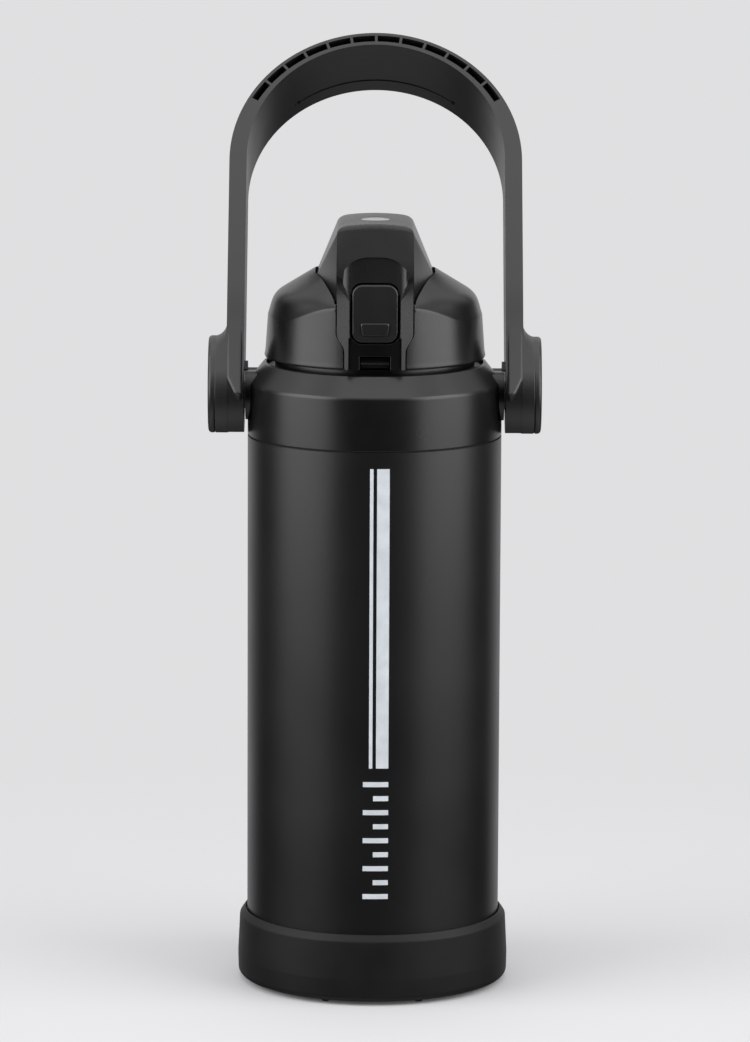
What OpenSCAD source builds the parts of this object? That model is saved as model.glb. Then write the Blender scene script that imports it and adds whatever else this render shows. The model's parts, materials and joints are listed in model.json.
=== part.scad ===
// Insulated steel water jug with a swinging carry handle, a screw-on lid,
// a flip-up spout cover with a push button, and a rubber boot on its base.
// Millimetres. The origin is on the body's axis at the floor, +Z is up and
// the button faces -Y.

/* [Body] */
// Outside diameter of the steel body
body_d = 111; // [96:1:134]
// Height of the steel body's visible top edge above the floor
body_top = 242.5; // [180:0.5:300]
// Wall of the outer steel shell
shell_t = 0.6; // [0.4:0.1:1.2]
// Wall of the inner steel flask
flask_t = 0.5; // [0.4:0.1:1]
// Vacuum space between the flask's side and the outer shell
vacuum_gap = 3.2; // [2:0.1:6]
// Outside diameter of the steel neck
neck_d = 82; // [64:1:84]

/* [Boot] */
// Height of the rubber boot's rim above the floor
boot_h = 31.2; // [20:0.1:50]
// Thickness of the boot's wall at its widest place
boot_wall = 4; // [3:0.1:6]
// Thickness of the boot's floor
boot_floor = 3; // [2:0.1:5]
// Height of the anti-slip studs under the boot
stud_h = 1.5; // [0.8:0.1:2.5]
// Number of studs round the boot's edge
stud_count = 8; // [6:1:16]

/* [Collar] */
// Height of the collar's straight wall
collar_wall_h = 23.5; // [20:0.1:40]
// Height of the collar's sloping shoulder
collar_slope_h = 9; // [6:0.1:14]
// Width of the collar's sloping shoulder
collar_slope_w = 6.9; // [5:0.1:9]
// Height of the handle's pivot above the body's top edge
pivot_up = 19.5; // [15:0.1:24]

/* [Handle] */
// Angle at which the handle leans back on its rear stop
handle_lean = 35; // [20:1:45]
// Total swing of the handle from its rear stop to its front stop
handle_swing = 70; // [40:1:90]
// Width of the handle's band, front to back
band_w = 41; // [30:0.5:50]
// Thickness of the handle's arms
arm_t = 7.6; // [6:0.1:10]
// Thickness of the handle at the top of its arch
arch_t = 6; // [5.5:0.1:8]
// Distance from the pivot to the top of the arch
handle_reach = 168; // [150:1:210]
// Gap between the collar's wall and an arm's inner face
arm_gap = 1.5; // [1.2:0.1:4]
// Radius of the rounded hub at the foot of each arm
hub_r = 18.8; // [16:0.1:20]
// Thickness of the cap on each hub
cap_t = 4.6; // [3:0.1:6]
// Number of open pockets along the arch's front edge
pocket_count = 12; // [6:1:16]

/* [Lid] */
// Gap between the collar's top and the lid's lower edge
lid_gap = 2.2; // [1:0.1:4]
// Height of the lid's side up to where its rounded shoulder starts
lid_side_h = 18; // [12:0.1:30]
// Radius of the lid's rounded shoulder
lid_round = 14.2; // [8:0.1:18]
// Slope of the lid's roof
roof_slope = 31.5; // [20:0.5:40]
// Wall of the lid's plastic parts
lid_t = 2.4; // [1.8:0.1:3]

/* [Flip cover] */
// Width of the cover's tower at its top
tower_w = 32.8; // [28:0.1:36]
// Width across the cover's flared sides at the roof
flare_w = 51.6; // [44:0.1:54]
// Height of the tower's top above the lid's lower edge
tower_h = 62.3; // [56:0.1:74]
// Wall of the flip cover
cover_t = 2.2; // [1.6:0.1:2.6]
// How far the tongue stands proud of the lid's lower edge
tongue_proud = 2.3; // [1:0.1:4]
// Width of the push button
button_w = 19.7; // [16:0.1:20.2]
// Height of the push button
button_h = 24.8; // [20:0.1:25.4]
// Diameter of the round badge on the tower's top
badge_d = 12.4; // [8:0.1:16]
// Bore of the drinking spout
spout_bore = 13; // [8:0.1:14]

/* [Printed stripes] */
// Width of the narrow stripe
stripe_narrow_w = 1.5; // [0.8:0.1:4]
// Width of the wide stripe
stripe_wide_w = 5.4; // [3:0.1:12]
// Gap between the two stripes
stripe_gap = 1.55; // [0.8:0.05:4]
// Height of the stripes
stripe_h = 131; // [60:1:150]
// Number of bars in the scale below the stripes
bar_count = 9; // [3:1:11]

/* [Hidden] */
$fn = 96;

satin_black = "#2c2c2f";
powder_black = "#262628";
rubber_black = "#1d1d1f";
steel = "#b4b6b8";
brass = "#b8964e";
seal_grey = "#8f9294";
badge_silver = "#c9cbcd";
print_grey = "#cfd4d8";

// Clearances
fit_gap = 0.02;      // pieces pressed or glued together
run_gap = 0.05;      // a shaft that turns in its bore
free_gap = 0.4;      // pieces that move past each other
eps = 0.01;          // overlap of cutting solids

// Body, from the floor up
body_r = body_d / 2;
base_z = stud_h + boot_floor;
neck_r = neck_d / 2;
step_w = 2;                              // step in the shell that the collar sits on
step_h = 4;
shoulder_z = body_top + 18;              // where the shell's shoulder meets its neck
collar_z = body_top + 0.6;
collar_wall_z = body_top + collar_wall_h;
collar_top = collar_wall_z + collar_slope_h;
rim_z = collar_top - 3;                  // top of the steel neck
rim_t = 0.8;
flask_r = body_r - shell_t - vacuum_gap;
flask_bottom = base_z + 10;
flask_round = 12;
flask_shoulder_z = body_top - 10;
flask_neck_z = body_top + 8;
neck_gap = 1.1;                          // vacuum space inside the neck
flask_neck_r = neck_r - shell_t - neck_gap;
neck_bore_r = flask_neck_r - flask_t;
base_rim_h = 6;
base_rise = 2.6;                         // how far the base plate is dished upwards
port_r = 1.5;
seal_cap_r = 5;
seal_cap_t = 0.8;

// Printed stripes, placed from the body's centre line and top edge
stripe_top = body_top - 6.7;
stripe_left = -1.85;
print_t = 0.1;
bar_gap = 6;                             // from the stripes down to the first bar
bar_pitch = 6.2;
bar_w = 11;
bar_h = 2.2;
print_h = min(stripe_h, body_top * 0.56);   // the stripes, shorter on a short body
bar_room = stripe_top - print_h - bar_gap - bar_h - boot_h - 3;
bars_shown = max(0, min(bar_count, 1 + floor(bar_room / bar_pitch)));

// Boot
boot_r = body_r + boot_wall;
boot_rim_r = boot_r - 0.8;
boot_round = 3.2;
boot_lip = 2.4;
stud_ring_r = body_r - 2.5;
stud_r = 2.2;
centre_pad_r = 15;

// Lid
lid_z = collar_top + lid_gap;
mouth_r = body_r - collar_slope_w;       // collar's opening
lid_r = mouth_r - free_gap;
lid_top_r = lid_r - 1.4;                 // the side leans in a little
lid_round_z = lid_z + lid_side_h;
roof_a = 90 - roof_slope;
roof_r0 = lid_top_r - lid_round * (1 - cos(roof_a));
roof_z0 = lid_round_z + lid_round * sin(roof_a);
roof_r1 = 20;
roof_z1 = roof_z0 + (roof_r0 - roof_r1) * tan(roof_slope);
collar_bore_r = lid_r - 0.8;
collar_floor_z = shoulder_z + 2.5;
skirt_r = collar_bore_r - 1;
skirt_z = collar_floor_z + 0.8;
seal_t = 2.5;
core_z = rim_z + rim_t + seal_t;         // underside of the lid's core plate
core_t = 2.7;
stopper_h = 19;
stopper_r = neck_bore_r - 0.8;

// Flip cover and the recess it sits in
deck_z = lid_z + 27.8;
deck_t = 2;
notch_y = lid_r - 6.7;                   // flat wall behind the tongue
tongue_y = lid_r + tongue_proud;
tower_hw = tower_w / 2;
flare_hw = flare_w / 2;
tower_top = lid_z + tower_h;
tower_front = tongue_y - 8.5;            // front edge of the tower's top
tower_back = 6;
flare_front = 11.5;                      // the widest stretch of the cover
flare_back = 8;
corner_y = lid_r - 10.2;                 // front and rear corners of the footprint
cover_back = lid_r - 6.2;
face_z = lid_z + 33;                     // above this the front face leans back
tongue_z = lid_z + 0.5;
taper_z0 = lid_z + 9.5;
taper_z1 = lid_z + 14.6;
tongue_low_hw = tower_hw - 3.3;
hinge_y = lid_r - 10;
hinge_z = deck_z + 4;
hinge_r = 3.6;
hinge_pin_r = 1.5;
knuckle_hw = 7.6;
spout_y = -16;
spout_wall = 2.4;
spout_r = spout_bore / 2 + spout_wall;
spout_tip_z = tower_top - 11.5;
vent_y = 12;
vent_r = 2.4;

// Button and its housing
panel_hw = 11.4;
panel_y = tongue_y - 1.1;
panel_back = notch_y + 0.5;
panel_top = lid_z + 39.4;
button_z = lid_z + 24.9;                 // centre of the button
button_gap = 0.6;
button_t = 3.6;
button_front = tongue_y - 0.2;
button_round = 4.4;
window_hw = 6.6;
window_h = 5.8;
button_pin_z = button_z + button_h / 2 - 3.4;
button_pin_y = button_front - button_t - 0.6;
button_pin_r = 1.1;
badge_y = tower_front - 23;
badge_z = tower_top - 1.2;
hook_hw = 3;                             // the button's latch hook
hook_t = 1.7;
hook_z = lid_z + 6.2;

// Handle and its pivots, right-hand side first
pivot_z = body_top + pivot_up;
boss_face = body_r + 0.9;
arm_x = body_r + arm_gap;
arm_out = arm_x + arm_t;
hub_out = arm_out + 3.4;
arch_r = arm_out;
arch_z = handle_reach - arch_r;
inner_arch_z = handle_reach - arch_t - arm_x;
hub_long = 5.5;                          // the hub's outline is stretched up the arm
bush_r = 5.5;
shank_r = 4;
screw_r = 2.05;
head_r = 7.5;
head_t = 2;
head_x = hub_out - 1.3;
flange_t = 0.7;
hub_pocket_r = 12;
insert_r = 3.2;
insert_x = body_r - 6;
lug_r0 = 9;
lug_r1 = 13.2;
lug_hw = 2;
stop_r0 = 8.6;
stop_r1 = 13;
stop_margin = asin(lug_hw / lug_r0) + 1.6;     // half the lug's angle, and a little play
stop_rear = handle_lean + stop_margin;
stop_front = handle_swing - handle_lean + stop_margin;
pocket_a0 = 29;                          // where the row of pockets starts on the arch
pocket_h = 3;
pocket_depth = 14;
pocket_rib = 1.2;
pocket_r0 = arch_r - arch_t + 1.6;

// Points of a quarter ellipse that leaves [r0, z0] upright and reaches [r1, z1] flat
function quarter(r0, z0, r1, z1, n = 12) =
    [for (i = [0 : n]) let (a = 90 * i / n) [r1 + (r0 - r1) * cos(a), z0 + (z1 - z0) * sin(a)]];

// Points of an arc about [r, z]
function arc(r, z, rad, a0, a1, n = 10) =
    [for (i = [0 : n]) let (a = a0 + (a1 - a0) * i / n) [r + rad * cos(a), z + rad * sin(a)]];

function flip(points) = [for (i = [len(points) - 1 : -1 : 0]) points[i]];

module revolve(points) {
    rotate_extrude() polygon(points);
}

// A cylinder along +X from x0 to x1
module rod_x(r, x0, x1) {
    translate([x0, 0, 0]) rotate([0, 90, 0]) cylinder(h = x1 - x0, r = r);
}

module tube_x(r, bore, x0, x1) {
    difference() {
        rod_x(r, x0, x1);
        rod_x(bore, x0 - eps, x1 + eps);
    }
}

// The child as drawn on the right, and its mirror image on the left
module both_sides() {
    children();
    mirror([1, 0, 0]) children();
}

module at_pivot() {
    translate([0, 0, pivot_z]) children();
}

module in_handle() {
    at_pivot() rotate([-handle_lean, 0, 0]) children();
}

// ---- Steel body ----

// Solid outline of the outer shell, made smaller by t
module shell_form(t, z0, z1) {
    revolve(concat(
        [[0, z0], [body_r - t, z0], [body_r - t, body_top - t], [body_r - step_w - t, body_top - t]],
        quarter(body_r - step_w - t, body_top + step_h - t, neck_r - t, shoulder_z - t),
        [[neck_r - t, z1], [0, z1]]
    ));
}

module outer_shell() {
    color(powder_black) difference() {
        shell_form(0, base_z, rim_z);
        shell_form(shell_t, base_z - 1, rim_z + 1);
    }
}

module outer_base() {
    rim_r = body_r - shell_t - fit_gap;
    plate_z = base_z + base_rise;
    color(steel) difference() {
        translate([0, 0, base_z]) cylinder(h = base_rim_h, r = rim_r);
        translate([0, 0, plate_z + shell_t]) cylinder(h = base_rim_h, r = rim_r - shell_t);
        translate([0, 0, base_z - 1]) cylinder(h = base_rise + 1, r = rim_r - shell_t - 3);
        translate([0, 0, base_z]) cylinder(h = base_rim_h, r = port_r);
    }
}

module vacuum_seal_cap() {
    color(steel) translate([0, 0, base_z + base_rise - seal_cap_t])
        cylinder(h = seal_cap_t, r = seal_cap_r);
}

// Solid outline of the flask, made smaller by t
module flask_form(t, z1) {
    r = flask_r - t;
    n = flask_neck_r - t;
    bottom = flask_bottom + t;
    revolve(concat(
        [[0, bottom]],
        arc(r - flask_round, bottom + flask_round, flask_round, -90, 0),
        quarter(r, flask_shoulder_z - t, n, flask_neck_z - t),
        [[n, z1], [0, z1]]
    ));
}

module inner_flask() {
    color(steel) difference() {
        union() {
            flask_form(0, rim_z + rim_t);
            translate([0, 0, rim_z]) cylinder(h = rim_t, r = neck_r);
        }
        flask_form(flask_t, rim_z + rim_t + 1);
    }
}

module getter_capsule() {
    color(steel) translate([0, 0, flask_bottom - 2.4]) cylinder(h = 2.4, r = 6);
}

module base_boot() {
    color(rubber_black) union() {
        difference() {
            revolve(concat(
                [[0, stud_h]],
                arc(boot_r - boot_round, stud_h + boot_round, boot_round, -90, 0),
                [[boot_r, stud_h + 10], [boot_rim_r, boot_h - boot_lip],
                 [body_r + 1, boot_h], [0, boot_h]]
            ));
            translate([0, 0, base_z]) cylinder(h = boot_h, r = body_r + fit_gap);
        }
        for (i = [0 : stud_count - 1])
            rotate([0, 0, 360 / stud_count * (i + 0.5)]) translate([stud_ring_r, 0, 0])
                cylinder(h = stud_h + boot_floor / 2, r1 = stud_r * 0.75, r2 = stud_r);
        cylinder(h = stud_h + boot_floor / 2, r = centre_pad_r);
    }
}

// A patch of print on the body's front, x measured round the surface
module print_patch(x0, w, z0, h) {
    per_mm = 180 / PI / body_r;
    translate([0, 0, z0]) rotate([0, 0, -90 + x0 * per_mm]) rotate_extrude(angle = w * per_mm)
        translate([body_r, 0]) square([print_t, h]);
}

module stripe_print() {
    wide_left = stripe_left + stripe_narrow_w + stripe_gap;
    right = wide_left + stripe_wide_w;
    color(print_grey) {
        print_patch(stripe_left, stripe_narrow_w, stripe_top - print_h, print_h);
        print_patch(wide_left, stripe_wide_w, stripe_top - print_h, print_h);
        for (i = [0 : 1 : bars_shown - 1]) {
            w = i % 2 == 0 ? bar_w : bar_w * 0.6;
            print_patch(right - w, w, stripe_top - print_h - bar_gap - bar_h - i * bar_pitch, bar_h);
        }
    }
}

// ---- Collar ----

module collar_gasket() {
    color(rubber_black) translate([0, 0, body_top]) difference() {
        cylinder(h = collar_z - body_top, r = body_r - 0.5);
        translate([0, 0, -1]) cylinder(h = 3, r = body_r - step_w + fit_gap);
    }
}

// The pivot boss, with a gap at its top where the handle's lug swings
module pivot_boss() {
    x0 = body_r - 5.5;
    far = 30;
    rod_x(stop_r0, x0, boss_face);
    difference() {
        rod_x(stop_r1, x0, boss_face);
        translate([x0 - 1, 0, 0]) rotate([90, 0, 90]) linear_extrude(boss_face)
            polygon([[0, 0], far * [sin(stop_rear), cos(stop_rear)], [0, far * 1.4],
                     far * [-sin(stop_front), cos(stop_front)]]);
    }
}

// The room inside the collar for the shell's shoulder and neck
module collar_hollow() {
    revolve(concat(
        [[0, collar_z - 1], [body_r - step_w + fit_gap, collar_z - 1]],
        quarter(body_r - step_w + fit_gap, body_top + step_h, neck_r + 0.5, shoulder_z + 0.4),
        [[neck_r + 0.5, collar_floor_z + 1], [0, collar_floor_z + 1]]
    ));
}

module shoulder_collar() {
    wall_round = 2.5;
    slope_a = atan2(collar_slope_h - 1, collar_slope_w);
    color(satin_black) difference() {
        union() {
            revolve(concat(
                [[0, collar_z], [body_r, collar_z]],
                arc(body_r - wall_round, collar_wall_z - wall_round, wall_round, 0, 90 - slope_a),
                [[mouth_r, collar_top - 0.4], [mouth_r - 0.6, collar_top], [0, collar_top]]
            ));
            both_sides() at_pivot() pivot_boss();
        }
        collar_hollow();
        translate([0, 0, collar_floor_z]) cylinder(h = 50, r = collar_bore_r);
        both_sides() at_pivot() rod_x(insert_r + fit_gap, insert_x, boss_face + 1);
    }
}

module pivot_inserts() {
    color(brass) both_sides() at_pivot() tube_x(insert_r, screw_r + fit_gap, insert_x, boss_face);
}

module pivot_washers() {
    color(seal_grey) both_sides() at_pivot()
        tube_x(stop_r0 - 0.4, shank_r + run_gap, boss_face, arm_x - run_gap);
}

module pivot_screws() {
    socket_r = 2.3;
    color(steel) both_sides() at_pivot() difference() {
        union() {
            rod_x(screw_r, insert_x + 1, boss_face + eps);
            rod_x(shank_r, boss_face, head_x + eps);
            rod_x(head_r, head_x, head_x + head_t);
        }
        translate([head_x + 0.6, 0, 0]) rotate([0, 90, 0]) cylinder(h = head_t, r = socket_r, $fn = 6);
    }
}

// ---- Handle ----

// The band seen from the front, as an arch on two legs
module band_front() {
    difference() {
        union() {
            translate([0, arch_z]) circle(r = arch_r);
            translate([-arch_r, 0]) square([2 * arch_r, arch_z]);
        }
        translate([0, inner_arch_z]) circle(r = arm_x);
        translate([-arm_x, -1]) square([2 * arm_x, inner_arch_z + 1]);
    }
}

// The band seen from the side: full width above, narrowing to the hub
module band_side() {
    widen_z = 42;
    polygon(concat(
        [[band_w / 2, handle_reach + 1], [band_w / 2, widen_z]],
        [[hub_r, hub_long]],
        flip(arc(0, 0, hub_r, 180, 360, 24)),
        [[-hub_r, hub_long], [-band_w / 2, widen_z], [-band_w / 2, handle_reach + 1]]
    ));
}

// The hub's outline, seen from the side
module hub_outline(r) {
    circle(r = r);
    translate([-r, 0]) square([2 * r, hub_long]);
    translate([0, hub_long]) circle(r = r);
}

// Stands a side view up at x, and gives it a thickness
module plate_x(x0, x1) {
    translate([x0, 0, 0]) rotate([90, 0, 90]) linear_extrude(x1 - x0) children();
}

module handle_lug() {
    translate([arm_x - 1.5, -lug_hw, lug_r0]) cube([1.5 + eps, 2 * lug_hw, lug_r1 - lug_r0]);
}

module front_pockets() {
    step = (180 - 2 * pocket_a0) / pocket_count;
    rib_a = pocket_rib / arch_r * 180 / PI;
    for (i = [0 : pocket_count - 1])
        translate([0, -band_w / 2 - eps, arch_z]) rotate([-90, 0, 0])
            rotate([0, 0, -(pocket_a0 + step * (i + 1)) + rib_a / 2])
                rotate_extrude(angle = step - rib_a)
                    translate([pocket_r0, 0]) square([pocket_h, pocket_depth]);
}

module carry_handle() {
    color(satin_black) in_handle() difference() {
        union() {
            intersection() {
                translate([0, band_w, 0]) rotate([90, 0, 0]) linear_extrude(2 * band_w)
                    translate([0, -hub_r])
                    union() {
                        translate([0, hub_r]) band_front();
                        translate([arm_x, 0]) square([arm_t, hub_r + 1]);
                        translate([-arm_out, 0]) square([arm_t, hub_r + 1]);
                    }
                plate_x(-arch_r - 1, arch_r + 1) band_side();
            }
            both_sides() plate_x(arm_x + eps, hub_out) hub_outline(hub_r);
            both_sides() handle_lug();
        }
        both_sides() rod_x(bush_r + fit_gap, arm_x - 1, hub_out + 1);
        both_sides() rod_x(hub_pocket_r, head_x - flange_t - 0.1, hub_out + 1);
        front_pockets();
    }
}

module pivot_bushes() {
    flange_x = head_x - flange_t - 0.1;
    color(brass) in_handle() both_sides() difference() {
        union() {
            rod_x(bush_r, arm_x + eps, flange_x + eps);
            rod_x(head_r, flange_x, flange_x + flange_t);
        }
        rod_x(shank_r + run_gap, arm_x - 1, hub_out);
    }
}

// A cap for the right-hand hub, with a ring that plugs into the hub's pocket
module hub_cap() {
    edge = 1.6;
    ring_r = hub_pocket_r - fit_gap;
    difference() {
        union() {
            plate_x(hub_out, hub_out + cap_t - edge) hub_outline(hub_r);
            hull() {
                plate_x(hub_out + cap_t - edge - eps, hub_out + cap_t - edge) hub_outline(hub_r);
                plate_x(hub_out + cap_t - eps, hub_out + cap_t) hub_outline(hub_r - edge);
            }
            rod_x(ring_r, hub_out - 0.8, hub_out + eps);
        }
        rod_x(head_r + 1, hub_out - 2, head_x + head_t + 0.5);
    }
}

module hub_cap_right() {
    color(satin_black) in_handle() hub_cap();
}

module hub_cap_left() {
    color(satin_black) in_handle() mirror([1, 0, 0]) hub_cap();
}

// ---- Lid ----

module neck_seal() {
    color(seal_grey) translate([0, 0, rim_z + rim_t]) difference() {
        cylinder(h = seal_t, r = neck_r);
        translate([0, 0, -1]) cylinder(h = seal_t + 2, r = neck_bore_r + 0.2);
    }
}

// Solid outline of the lid, made smaller by t
module lid_form(t) {
    drop = t > 0 ? 1 : 0;
    revolve(concat(
        [[0, lid_z - drop], [lid_r - t, lid_z - drop], [lid_r - t, lid_z + 0.8],
         [lid_r - 0.5 - t, lid_z + 2]],
        arc(lid_top_r - lid_round, lid_round_z, lid_round - t, 0, roof_a),
        [[roof_r1, roof_z1 - t / cos(roof_slope)], [0, roof_z1 - t / cos(roof_slope)]]
    ));
}

// The cover's footprint on the roof, made larger by g
module footprint(g) {
    front = corner_y;
    side = [
        [tower_hw + 0.6 + g, -front - g / 2],
        [flare_hw + g, -flare_front - g / 4],
        [flare_hw + g, flare_back + g / 4],
        [tower_hw + 0.6 + g, front - 4 + g / 2]
    ];
    back = cover_back + 8;
    polygon(concat(
        [[tower_hw + 0.6 + g, -front - 30]], side, [[tower_hw + 0.6 + g, back]],
        [[-tower_hw - 0.6 - g, back]],
        [for (i = [3 : -1 : 0]) [-side[i][0], side[i][1]]],
        [[-tower_hw - 0.6 - g, -front - 30]]
    ));
}

module lid_shell() {
    gap = 0.5;
    color(satin_black) difference() {
        union() {
            difference() {
                lid_form(0);
                lid_form(lid_t);
            }
            intersection() {
                lid_form(eps);
                union() {
                    translate([0, 0, deck_z - deck_t]) linear_extrude(60) footprint(gap + lid_t);
                    translate([-tower_hw - 3, -notch_y, lid_z])
                        cube([tower_w + 6, deck_t, deck_z - lid_z]);
                    for (x = [-tower_hw - 3, tower_hw + 1])
                        translate([x, -notch_y - 10, lid_z]) cube([2, 11, deck_z - lid_z]);
                }
            }
            knuckle(-knuckle_hw, knuckle_hw);
        }
        difference() {
            translate([0, 0, deck_z]) linear_extrude(60) footprint(gap);
            knuckle(-knuckle_hw, knuckle_hw);
        }
        plate_y(notch_y, notch_y + 20) tongue_outline(free_gap + 0.2, lid_z - 5, lid_z + 55);
        translate([0, hinge_y, hinge_z]) rod_x(hinge_pin_r + fit_gap, -30, 30);
        translate([0, spout_y, deck_z - 5]) cylinder(h = 10, r = spout_r + fit_gap);
        translate([0, vent_y, deck_z - 5]) cylinder(h = 10, r = vent_r + fit_gap);
    }
}

// The tongue seen from the front, made larger by g
module tongue_outline(g, z0, z1) {
    polygon([
        [tongue_low_hw + g, z0], [tongue_low_hw + g, taper_z0],
        [tower_hw + g, taper_z1], [tower_hw + g, z1],
        [-tower_hw - g, z1], [-tower_hw - g, taper_z1],
        [-tongue_low_hw - g, taper_z0], [-tongue_low_hw - g, z0]
    ]);
}

// A hinge knuckle from x0 to x1, with its foot on the deck
module knuckle(x0, x1) {
    translate([0, hinge_y, hinge_z]) rod_x(hinge_r, x0, x1);
    translate([x0, hinge_y - hinge_r, deck_z - deck_t])
        cube([x1 - x0, 2 * hinge_r, hinge_z - deck_z + deck_t]);
}

module hinge_pin() {
    color(steel) translate([0, hinge_y, hinge_z]) rod_x(hinge_pin_r, 1 - tower_hw, tower_hw - 1);
}

module lid_core() {
    spigot_r = lid_r - lid_t - 0.1;
    color(satin_black) difference() {
        union() {
            translate([0, 0, skirt_z]) cylinder(h = lid_z - skirt_z, r = skirt_r);
            translate([0, 0, core_z]) cylinder(h = core_t, r = skirt_r - 1);
            translate([0, 0, lid_z - eps]) cylinder(h = 4, r = min(spigot_r, skirt_r) - 1);
        }
        translate([0, 0, skirt_z - 1]) cylinder(h = core_z - skirt_z + 1, r = neck_r + 0.5);
        translate([0, 0, core_z + core_t]) cylinder(h = 10, r = skirt_r - 4);
        shadow_groove();
        translate([-tower_hw - 4, -notch_y - 20, lid_z]) cube([tower_w + 8, 20 + deck_t, 20]);
        translate([0, spout_y, core_z - 1]) cylinder(h = 10, r = spout_r + fit_gap);
        translate([0, vent_y, core_z - 1]) cylinder(h = 10, r = vent_r);
    }
}

// A groove round the skirt's top, behind the gap between lid and collar
module shadow_groove() {
    groove_z = collar_top - 2;
    translate([0, 0, groove_z]) difference() {
        cylinder(h = lid_z - groove_z - 0.2, r = skirt_r + 1);
        translate([0, 0, -1]) cylinder(h = 10, r = skirt_r - 2.8);
    }
}

module stopper() {
    round_r = 3;
    color(satin_black) difference() {
        revolve(concat(
            [[0, core_z - stopper_h]],
            arc(stopper_r - round_r, core_z - stopper_h + round_r, round_r, -90, 0),
            [[stopper_r, core_z], [0, core_z]]
        ));
        translate([0, spout_y, core_z - 50]) cylinder(h = 60, r = spout_bore / 2);
        translate([0, vent_y, core_z - 50]) cylinder(h = 60, r = vent_r);
    }
}

module spout() {
    tip = 1.2;
    color(satin_black) translate([0, spout_y, 0]) difference() {
        revolve([[0, core_z], [spout_r, core_z], [spout_r, spout_tip_z - tip],
                 [spout_r - tip, spout_tip_z], [0, spout_tip_z]]);
        translate([0, 0, core_z - 1]) cylinder(h = 100, r = spout_bore / 2);
    }
}

module vent_valve() {
    color(seal_grey) translate([0, vent_y, 0]) union() {
        translate([0, 0, deck_z]) cylinder(h = 1.6, r = 5);
        translate([0, 0, deck_z - deck_t - 2]) cylinder(h = deck_t + 3, r = vent_r);
        translate([0, 0, deck_z - deck_t - 2]) cylinder(h = 2, r1 = vent_r, r2 = vent_r + 0.8);
    }
}

module latch_catch() {
    hw = window_hw - 0.5;
    color(satin_black) translate([-hw, 0, lid_z + 1.2]) rotate([90, 0, 90]) linear_extrude(2 * hw)
        polygon([
            [-notch_y, 0], [-notch_y, 4.2], [-notch_y - 4, 4.2], [-notch_y - 5.8, 1.6], [-notch_y - 5.8, 0]
        ]);
}

// ---- Flip cover ----

// A block with round upright corners, its front at -y0 and its back at y1
module round_block(hw, y0, y1, z0, z1, r) {
    for (x = [-hw + r, hw - r], y = [-y0 + r, y1 - r])
        translate([x, y, z0]) cylinder(h = z1 - z0, r = r, $fn = 32);
}

// The tower's outer form, made smaller by t
module tower_form(t) {
    crown = 1.2;
    base = deck_z + free_gap - (t > 0 ? 5 : 0);
    hull() {
        round_block(tower_hw - t, tower_front - t, tower_back - t, tower_top - 4, tower_top - crown - t, 3);
        round_block(tower_hw - 7, tower_front - 8, tower_back - 6, tower_top - 4, tower_top - t, 3);
        translate([0, 0, base]) linear_extrude(deck_z + 8 - base)
            polygon([
                [tower_hw + 0.4 - t, -corner_y], [flare_hw - t, -flare_front],
                [flare_hw - t, flare_back], [tower_hw + 0.4 - t, corner_y - 4 - t],
                [-tower_hw - 0.4 + t, corner_y - 4 - t], [-flare_hw + t, flare_back],
                [-flare_hw + t, -flare_front], [-tower_hw - 0.4 + t, -corner_y]
            ]);
    }
}

// The leaning front of the tower above the tongue
module front_form() {
    hull() {
        round_block(tower_hw, tongue_y, 0 - tongue_y + 8, face_z - 3, face_z, 2.5);
        round_block(tower_hw, tower_front, 0 - tower_front + 12, tower_top - 4, tower_top - 1.6, 2.5);
    }
}

module tongue() {
    plate_y(panel_back, tongue_y) tongue_outline(0, tongue_z, face_z);
}

// The shallow trough down the front, from the arch above the button
module thumb_scoop() {
    scoop_r = 90;
    tilt = 8;
    scoop_h = 40;
    apex_z = tower_top - 13;
    apex_y = tongue_y - (apex_z - face_z) * (tongue_y - tower_front) / (tower_top - face_z);
    translate([0, -apex_y, apex_z]) rotate([-tilt, 0, 0]) translate([0, -scoop_r, -scoop_h])
        cylinder(h = scoop_h + 3, r = scoop_r);
}

module flip_cover() {
    back_z = hinge_z + hinge_r;
    color(satin_black) difference() {
        union() {
            tower_form(0);
            front_form();
            tongue();
            both_sides() cover_arm(back_z);
        }
        tower_form(cover_t);
        translate([-panel_hw, -tongue_y - 5, tongue_z - 1])
            cube([2 * panel_hw, tongue_y - panel_back + 6, panel_top - tongue_z + 1]);
        thumb_scoop();
        translate([-tower_hw - 1, -notch_y - free_gap, lid_z])
            cube([tower_w + 2, 20, deck_z + free_gap - lid_z]);
        translate([0, hinge_y, hinge_z]) rod_x(hinge_pin_r + run_gap, -30, 30);
        translate([-knuckle_hw - free_gap, hinge_y - 7, deck_z - 3])
            cube([2 * (knuckle_hw + free_gap), 20, 12]);
        translate([0, -badge_y, badge_z]) cylinder(h = 10, r = badge_d / 2 + fit_gap);
        translate([-tower_hw + cover_t, -notch_y, deck_z - 1])
            cube([tower_w - 2 * cover_t, 14, panel_top - deck_z]);
    }
}

// One of the cover's two arms, which reaches back to a knuckle on the hinge
module cover_arm(top_z) {
    x0 = knuckle_hw + free_gap;
    x1 = tower_hw;
    translate([0, hinge_y, hinge_z]) rod_x(hinge_r, x0, x1);
    plate_x(x0, x1) polygon([
        [hinge_y, hinge_z], [hinge_y, top_z], [corner_y - 12, top_z + 6], [corner_y - 12, hinge_z]
    ]);
}

module top_badge() {
    color(badge_silver) translate([0, -badge_y, badge_z]) cylinder(h = 1.1, r = badge_d / 2);
}

module seal_carrier() {
    z0 = spout_tip_z + 3;
    color(satin_black) difference() {
        translate([0, spout_y, z0]) cylinder(h = tower_top - cover_t - z0, r = 9.5);
        translate([0, spout_y, z0 - 1]) cylinder(h = 3, r = 7.8 + fit_gap);
    }
}

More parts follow.
